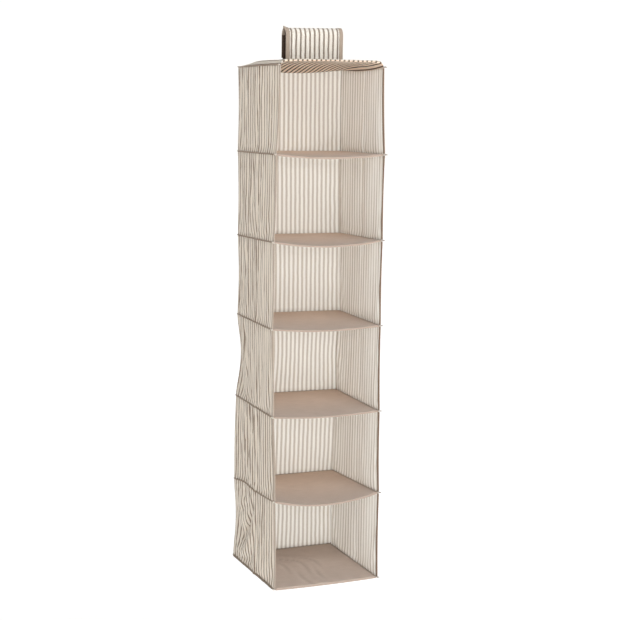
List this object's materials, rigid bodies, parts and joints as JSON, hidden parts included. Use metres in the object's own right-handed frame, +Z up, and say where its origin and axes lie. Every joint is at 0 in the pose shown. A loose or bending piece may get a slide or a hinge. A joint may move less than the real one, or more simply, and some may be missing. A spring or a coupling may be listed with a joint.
{
  "type": "hanging shoe organizer",
  "caption": "Hanging fabric organizer: open-fronted square compartments on stiffened shelves below one wide strap that closes over a wardrobe rail.",
  "frame": {"origin": "on the axis of the wardrobe rail, at the middle of the strap's width", "axes": "+Z up, +X along the rail to the object's right as seen from its open front, -Y out of the open front"},
  "size_m": [0.3046, 0.3023, 1.4506],
  "materials": {
    "striped_cloth": "matte",
    "shelf_cloth": "matte",
    "binding_tape": "matte",
    "seam_piping": "matte",
    "stiffener_board": "matte",
    "hook_and_loop": "matte"
  },
  "bodies": {
    "hanger": {"hanging_strap": "striped_cloth", "strap_binding_left": "binding_tape", "strap_binding_right": "binding_tape", "strap_tab": "shelf_cloth", "loop_tape": "hook_and_loop", "top_cover": "striped_cloth", "top_board": "stiffener_board", "seam_piping_0": "seam_piping", "left_wall_1": "striped_cloth", "right_wall_1": "striped_cloth", "rear_wall_1": "striped_cloth", "left_binding_1": "binding_tape", "right_binding_1": "binding_tape"},
    "level_1": {"shelf_1_cover": "shelf_cloth", "shelf_1_board": "stiffener_board", "seam_piping_1": "seam_piping", "left_wall_2": "striped_cloth", "right_wall_2": "striped_cloth", "rear_wall_2": "striped_cloth", "left_binding_2": "binding_tape", "right_binding_2": "binding_tape"},
    "level_2": {"shelf_2_cover": "shelf_cloth", "shelf_2_board": "stiffener_board", "seam_piping_2": "seam_piping", "left_wall_3": "striped_cloth", "right_wall_3": "striped_cloth", "rear_wall_3": "striped_cloth", "left_binding_3": "binding_tape", "right_binding_3": "binding_tape"},
    "level_3": {"shelf_3_cover": "shelf_cloth", "shelf_3_board": "stiffener_board", "seam_piping_3": "seam_piping", "left_wall_4": "striped_cloth", "right_wall_4": "striped_cloth", "rear_wall_4": "striped_cloth", "left_binding_4": "binding_tape", "right_binding_4": "binding_tape"},
    "level_4": {"shelf_4_cover": "shelf_cloth", "shelf_4_board": "stiffener_board", "seam_piping_4": "seam_piping", "left_wall_5": "striped_cloth", "right_wall_5": "striped_cloth", "rear_wall_5": "striped_cloth", "left_binding_5": "binding_tape", "right_binding_5": "binding_tape"},
    "level_5": {"shelf_5_cover": "shelf_cloth", "shelf_5_board": "stiffener_board", "seam_piping_5": "seam_piping", "left_wall_6": "striped_cloth", "right_wall_6": "striped_cloth", "rear_wall_6": "striped_cloth", "left_binding_6": "binding_tape", "right_binding_6": "binding_tape"},
    "level_6": {"bottom_cover": "shelf_cloth", "bottom_board": "stiffener_board", "seam_piping_6": "seam_piping"},
    "strap_flap": {"strap_flap": "striped_cloth", "flap_binding_left": "binding_tape", "flap_binding_right": "binding_tape", "hook_tape": "hook_and_loop"}
  },
  "joints": [
    {"name": "compartment_1_fold", "type": "slide", "parent": "hanger", "child": "level_1", "axis": [0, 0, 1], "range_m": [0, 0.19], "deforming": ["left_wall_1", "right_wall_1", "rear_wall_1", "left_binding_1", "right_binding_1"]},
    {"name": "compartment_2_fold", "type": "slide", "parent": "level_1", "child": "level_2", "axis": [0, 0, 1], "range_m": [0, 0.19], "deforming": ["left_wall_2", "right_wall_2", "rear_wall_2", "left_binding_2", "right_binding_2"]},
    {"name": "compartment_3_fold", "type": "slide", "parent": "level_2", "child": "level_3", "axis": [0, 0, 1], "range_m": [0, 0.19], "deforming": ["left_wall_3", "right_wall_3", "rear_wall_3", "left_binding_3", "right_binding_3"]},
    {"name": "compartment_4_fold", "type": "slide", "parent": "level_3", "child": "level_4", "axis": [0, 0, 1], "range_m": [0, 0.19], "deforming": ["left_wall_4", "right_wall_4", "rear_wall_4", "left_binding_4", "right_binding_4"]},
    {"name": "compartment_5_fold", "type": "slide", "parent": "level_4", "child": "level_5", "axis": [0, 0, 1], "range_m": [0, 0.19], "deforming": ["left_wall_5", "right_wall_5", "rear_wall_5", "left_binding_5", "right_binding_5"]},
    {"name": "compartment_6_fold", "type": "slide", "parent": "level_5", "child": "level_6", "axis": [0, 0, 1], "range_m": [0, 0.19], "deforming": ["left_wall_6", "right_wall_6", "rear_wall_6", "left_binding_6", "right_binding_6"]},
    {"name": "strap_opening", "type": "hinge", "parent": "hanger", "child": "strap_flap", "pos_m": [0, 0.0177, -0.00135], "axis": [1, 0, 0], "range_deg": [0, 110]}
  ]
}
